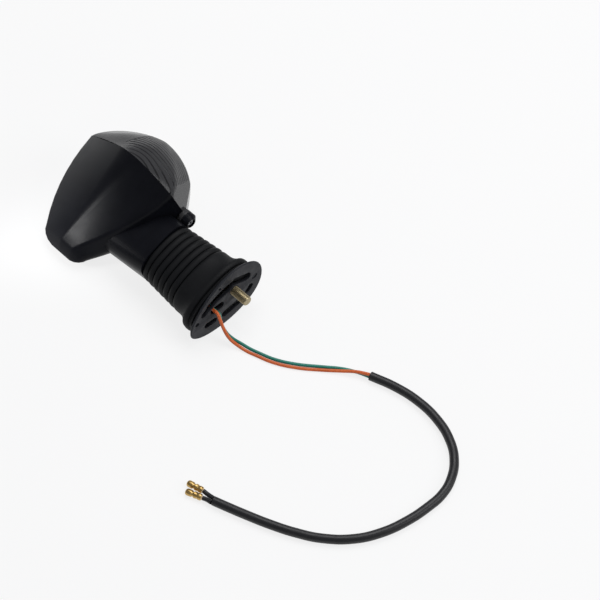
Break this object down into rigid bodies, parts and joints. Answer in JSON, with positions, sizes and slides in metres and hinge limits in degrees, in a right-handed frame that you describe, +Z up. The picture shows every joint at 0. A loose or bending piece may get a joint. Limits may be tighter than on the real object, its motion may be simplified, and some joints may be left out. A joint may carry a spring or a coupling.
{
  "type": "turn signal indicator",
  "caption": "Turn signal indicator: faceted black pod with a fluted smoked lens, ribbed rubber stalk, slotted oval mounting plate with a stud, and a sleeved lead with bullet terminals.",
  "frame": {"origin": "middle of the mounting plate's outer face, on the stem's axis", "axes": "+X out of the mounting face along the stud, the pod lies towards -X with its lens facing +Y, +Z up from the table it lies on"},
  "size_m": [0.3197, 0.1469, 0.0571],
  "materials": {
    "black_abs": "fine matte",
    "smoked_acrylic": "clear gloss, smoked",
    "black_rubber": "matte",
    "plate_nylon": "satin",
    "yellow_zinc": "yellow zinc plating",
    "plated_steel": "zinc plating",
    "silvered_plastic": "mirror",
    "brass": "bright",
    "clear_glass": "clear",
    "tungsten": "drawn wire",
    "solder": "satin",
    "brown_fibre": "matte",
    "orange_pvc": "satin",
    "green_pvc": "satin",
    "black_pvc": "satin"
  },
  "bodies": {
    "base": {"mounting_plate": "plate_nylon", "mounting_stud": "yellow_zinc", "backing_plate": "plated_steel", "base_screw_front": "plated_steel", "base_screw_rear": "plated_steel", "orange_wire": "orange_pvc", "green_wire": "green_pvc", "loom_sleeve": "black_pvc", "orange_tail": "black_pvc", "green_tail": "black_pvc", "orange_bullet": "brass", "green_bullet": "brass"},
    "stalk": {"rubber_boot": "black_rubber", "orange_lead_inside": "orange_pvc", "green_lead_inside": "green_pvc"},
    "head": {"housing": "black_abs", "lens": "smoked_acrylic", "lens_screw": "plated_steel", "lens_gasket": "black_rubber", "reflector": "silvered_plastic", "bulb_holder": "plated_steel", "holder_grommet": "black_rubber", "holder_base": "brown_fibre", "ground_tab": "brass", "contact_spring": "plated_steel", "boot_retainer": "plated_steel"},
    "bulb": {"bulb_cap": "brass", "bulb_glass": "clear_glass", "bulb_stem": "clear_glass", "bulb_filament": "tungsten", "bulb_contact": "solder"},
    "plunger": {"contact_plunger": "brown_fibre"}
  },
  "joints": [
    {"name": "stem_sway", "type": "hinge", "parent": "base", "child": "stalk", "pos_m": [-0.022, 0, 0], "axis": [0, -0.342, 0.9397], "range_deg": [-20, 20], "stiffness_Nm_per_rad": 3, "deforming": ["rubber_boot", "orange_lead_inside", "green_lead_inside"]},
    {"name": "stem_dip", "type": "hinge", "parent": "stalk", "child": "head", "pos_m": [-0.04, 0, 0], "axis": [0, 0.9397, 0.342], "range_deg": [-20, 20], "stiffness_Nm_per_rad": 3, "deforming": ["rubber_boot", "orange_lead_inside", "green_lead_inside"]},
    {"name": "bulb_push", "type": "slide", "parent": "head", "child": "bulb", "axis": [1, 0, 0], "range_m": [0, 0.002], "stiffness_N_per_m": 800, "deforming": ["contact_spring"]},
    {"name": "plunger_push", "type": "slide", "parent": "head", "child": "plunger", "axis": [1, 0, 0], "range_m": [0, 0.002], "deforming": ["contact_spring"]}
  ],
  "couplings": [
    {"joint": "plunger_push", "follows": "bulb_push", "ratio": 1}
  ]
}
